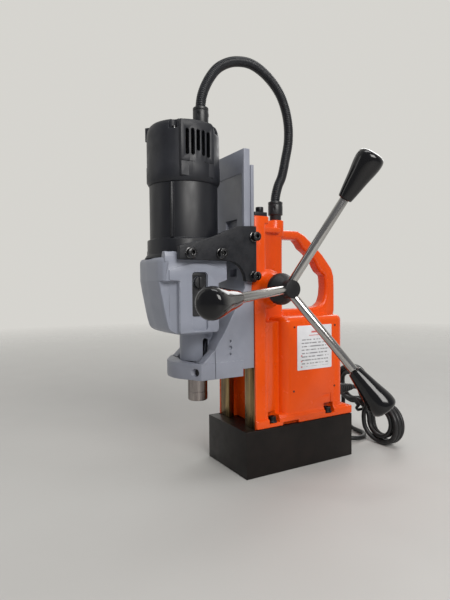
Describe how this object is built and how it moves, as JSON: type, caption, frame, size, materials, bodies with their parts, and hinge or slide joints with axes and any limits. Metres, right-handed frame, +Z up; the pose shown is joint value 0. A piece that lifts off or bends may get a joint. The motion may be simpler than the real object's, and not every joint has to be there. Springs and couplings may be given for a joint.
{
  "type": "magnetic drill press",
  "caption": "Portable drill press on an electromagnet foot: a geared motor rides a dovetail column and is fed up and down by a spoked handwheel.",
  "frame": {"origin": "centre of the electromagnet's flat bottom face", "axes": "+Z up the column; -Y towards the drill spindle and motor; +X towards the feed handwheel"},
  "size_m": [0.2962, 0.416, 0.5857],
  "materials": {
    "magnet_black": "satin black paint",
    "resin": "poured black epoxy",
    "copper": "enamelled copper winding",
    "orange_enamel": "gloss orange enamel on cast aluminium",
    "brass_strip": "worn brass",
    "zinc_screw": "bright zinc plate",
    "black_steel": "rough black paint on steel",
    "black_plastic": "satin black",
    "motor_black": "semi-gloss black",
    "label_paper": null,
    "cord_black": "black rubber sheath",
    "red_plastic": "gloss red",
    "green_plastic": "gloss green",
    "grey_slide": "light grey paint on cast aluminium",
    "grey_paint": "satin blue-grey paint on cast aluminium",
    "bright_steel": "ground and polished",
    "hub_black": "satin black",
    "knob_black": "high gloss black"
  },
  "bodies": {
    "stand": {"magnet_block": "magnet_black", "magnet_potting": "resin", "magnet_coil": "copper", "stand_housing": "orange_enamel", "gib_right": "brass_strip", "gib_left": "brass_strip", "column_cap": "black_steel", "cap_plate_screw_right": "zinc_screw", "cap_plate_screw_left": "zinc_screw", "stand_gland": "black_plastic", "conduit": "black_plastic", "rating_label": "label_paper", "flange_bolt_front_right": "zinc_screw", "flange_bolt_rear_right": "zinc_screw", "flange_bolt_front_left": "zinc_screw", "flange_bolt_rear_left": "zinc_screw", "control_panel": "black_plastic", "strain_relief": "cord_black", "power_cord": "cord_black", "cord_hank": "cord_black", "cord_tie": "black_plastic", "cord_tail": "cord_black", "power_plug": "black_plastic"},
    "magnet_switch": {"magnet_switch": "red_plastic"},
    "start_button": {"start_button": "green_plastic"},
    "stop_button": {"stop_button": "red_plastic"},
    "carriage": {"slide_casting": "grey_slide", "feed_rack": "bright_steel", "clamp_cap": "grey_slide", "clamp_screw_right": "zinc_screw", "clamp_screw_left": "zinc_screw", "bracket_right": "black_steel", "bracket_left": "black_steel", "bracket_screw_right_1": "zinc_screw", "bracket_screw_right_2": "zinc_screw", "bracket_screw_right_3": "zinc_screw", "bracket_screw_right_4": "zinc_screw", "bracket_screw_left_1": "zinc_screw", "bracket_screw_left_2": "zinc_screw", "bracket_screw_left_3": "zinc_screw", "bracket_screw_left_4": "zinc_screw", "gearbox_housing": "grey_paint", "spindle_bearing": "bright_steel", "motor_case": "motor_black", "stator": "bright_steel", "motor_cap": "black_plastic", "motor_gland": "black_plastic"},
    "speed_selector": {"speed_selector": "black_plastic"},
    "spindle": {"spindle": "bright_steel", "spindle_gear": "bright_steel"},
    "countershaft": {"countershaft": "bright_steel"},
    "armature": {"armature": "copper"},
    "feed_wheel": {"feed_shaft": "bright_steel", "feed_hub": "hub_black", "spoke_1": "bright_steel", "spoke_2": "bright_steel", "spoke_3": "bright_steel", "knob_1": "knob_black", "knob_2": "knob_black", "knob_3": "knob_black"}
  },
  "joints": [
    {"name": "carriage_slide", "type": "slide", "parent": "stand", "child": "carriage", "axis": [0, 0, 1], "range_m": [-0.08, 0.06], "deforming": ["conduit"]},
    {"name": "feed_spin", "type": "hinge", "parent": "stand", "child": "feed_wheel", "pos_m": [0, -0.055, 0.2555], "axis": [1, 0, 0], "range_deg": [-290, 385]},
    {"name": "armature_spin", "type": "hinge", "parent": "carriage", "child": "armature", "pos_m": [0, -0.158, 0.35], "axis": [0, 0, 1], "continuous": true},
    {"name": "countershaft_spin", "type": "hinge", "parent": "carriage", "child": "countershaft", "pos_m": [0.01954, -0.15213, 0.28], "axis": [0, 0, 1], "continuous": true},
    {"name": "spindle_spin", "type": "hinge", "parent": "carriage", "child": "spindle", "pos_m": [0, -0.14, 0.2], "axis": [0, 0, 1], "continuous": true},
    {"name": "selector_turn", "type": "hinge", "parent": "carriage", "child": "speed_selector", "pos_m": [0.045, -0.158, 0.265], "axis": [1, 0, 0], "range_deg": [0, 90]},
    {"name": "magnet_rocker", "type": "hinge", "parent": "stand", "child": "magnet_switch", "pos_m": [-0.0525, 0.026, 0.128], "axis": [0, 1, 0], "range_deg": [0, 12]},
    {"name": "start_press", "type": "slide", "parent": "stand", "child": "start_button", "axis": [1, 0, 0], "range_m": [0, 0.003], "stiffness_N_per_m": 900},
    {"name": "stop_press", "type": "slide", "parent": "stand", "child": "stop_button", "axis": [1, 0, 0], "range_m": [0, 0.003], "stiffness_N_per_m": 900}
  ],
  "couplings": [
    {"joint": "feed_spin", "follows": "carriage_slide", "rad_per_m": -83.333},
    {"joint": "countershaft_spin", "follows": "armature_spin", "ratio": -0.2},
    {"joint": "spindle_spin", "follows": "armature_spin", "ratio": 0.055556}
  ]
}
